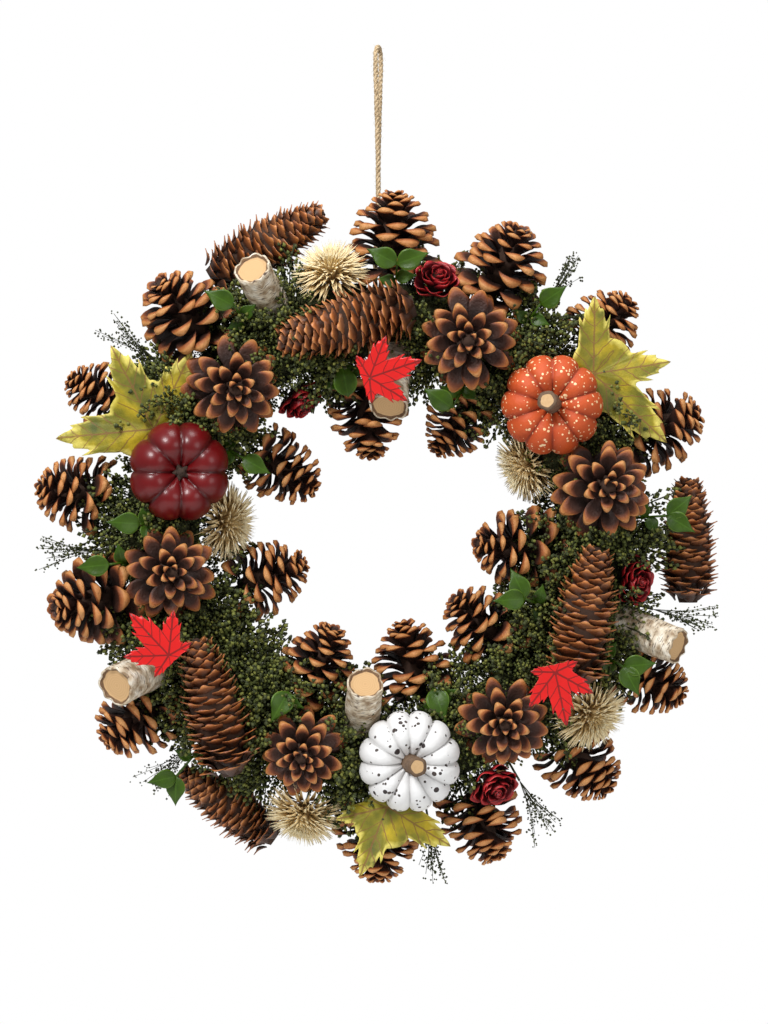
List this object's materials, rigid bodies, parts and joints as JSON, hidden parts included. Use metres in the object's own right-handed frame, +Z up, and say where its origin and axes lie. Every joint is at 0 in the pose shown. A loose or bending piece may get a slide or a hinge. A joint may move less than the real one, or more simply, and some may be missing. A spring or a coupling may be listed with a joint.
{
  "type": "harvest door wreath",
  "caption": "Round autumn door wreath: straw ring under moss, dressed with pine and spruce cones, small pumpkins, birch pieces, straw flowers and maple leaves, on a twine hanging loop",
  "frame": {"origin": "inside of the top of the twine loop, where it rests on its hook", "axes": "+Z up, the wreath's dressed front faces -Y, the door is on the +Y side, +X is to the viewer's right"},
  "size_m": [0.352, 0.0893, 0.433],
  "materials": {
    "straw": "dry straw stalks wound into a ring, matt",
    "twine": "natural jute twine, hairy and matt",
    "moss": "dried moss and tiny seed heads, matt, olive to dark green",
    "pick_wire": "thin lacquered florist wire",
    "pine_cone": "open woody cone scales, dark inside with paler worn rims",
    "spruce_cone": "thin papery cone scales, orange tan, slightly shiny",
    "pumpkin_red": "foam pumpkin with glossy dark red lacquer",
    "pumpkin_orange": "foam pumpkin, matt orange with cream speckles",
    "pumpkin_white": "foam pumpkin, matt white with black speckles",
    "stem": "dry stem with a pale cut face",
    "rose_cone": "rose-shaped cone dyed crimson, satin",
    "straw_flower": "dry papery bracts, cream",
    "birch": "white birch bark with dark marks, pale cut ends",
    "red_leaf": "thin plywood painted bright red with darker engraved veins",
    "yellow_leaf": "printed polyester leaf, yellow green with brown veins",
    "box_leaf": "waxy leaf, dark green with a pale rim",
    "dried_spray": "dried fine seed spray, olive"
  },
  "bodies": {
    "hanger": {"hanger_loop": "twine", "hanger_hitch": "twine"},
    "wreath": {"straw_ring": "straw", "ring_binding": "twine", "moss_mat": "moss", "wire_picks": "pick_wire", "pine_cone_outer_1": "pine_cone", "pine_cone_outer_2": "pine_cone", "pine_cone_outer_3": "pine_cone", "pine_cone_outer_4": "pine_cone", "pine_cone_outer_5": "pine_cone", "pine_cone_outer_6": "pine_cone", "pine_cone_outer_7": "pine_cone", "pine_cone_outer_8": "pine_cone", "pine_cone_outer_9": "pine_cone", "pine_cone_outer_10": "pine_cone", "pine_cone_outer_11": "pine_cone", "pine_cone_outer_12": "pine_cone", "pine_cone_outer_13": "pine_cone", "pine_cone_inner_1": "pine_cone", "pine_cone_inner_2": "pine_cone", "pine_cone_inner_3": "pine_cone", "pine_cone_inner_4": "pine_cone", "pine_cone_inner_5": "pine_cone", "pine_cone_inner_6": "pine_cone", "pine_cone_inner_7": "pine_cone", "pine_cone_inner_8": "pine_cone", "pine_cone_face_1": "pine_cone", "pine_cone_face_2": "pine_cone", "pine_cone_face_3": "pine_cone", "pine_cone_face_4": "pine_cone", "pine_cone_face_5": "pine_cone", "pine_cone_face_6": "pine_cone", "spruce_cone_1": "spruce_cone", "spruce_cone_2": "spruce_cone", "spruce_cone_3": "spruce_cone", "spruce_cone_4": "spruce_cone", "spruce_cone_5": "spruce_cone", "spruce_cone_6": "spruce_cone", "pumpkin_red": "pumpkin_red", "pumpkin_orange": "pumpkin_orange", "pumpkin_white": "pumpkin_white", "rose_cones": "rose_cone", "straw_flower_1": "straw_flower", "straw_flower_2": "straw_flower", "straw_flower_3": "straw_flower", "straw_flower_4": "straw_flower", "straw_flower_5": "straw_flower", "birch_log_1": "birch", "birch_log_2": "birch", "birch_log_3": "birch", "birch_log_4": "birch", "birch_log_5": "birch", "pumpkin_stems": "stem", "maple_leaves_red": "red_leaf", "maple_leaves_yellow": "yellow_leaf", "box_sprigs": "box_leaf", "moss_tufts": "moss", "dried_sprays": "dried_spray"}
  },
  "joints": [
    {"name": "hitch_turn", "type": "hinge", "parent": "hanger", "child": "wreath", "pos_m": [0, -0.01755, -0.14], "axis": [1, 0, 0], "range_deg": [0, 90]}
  ]
}
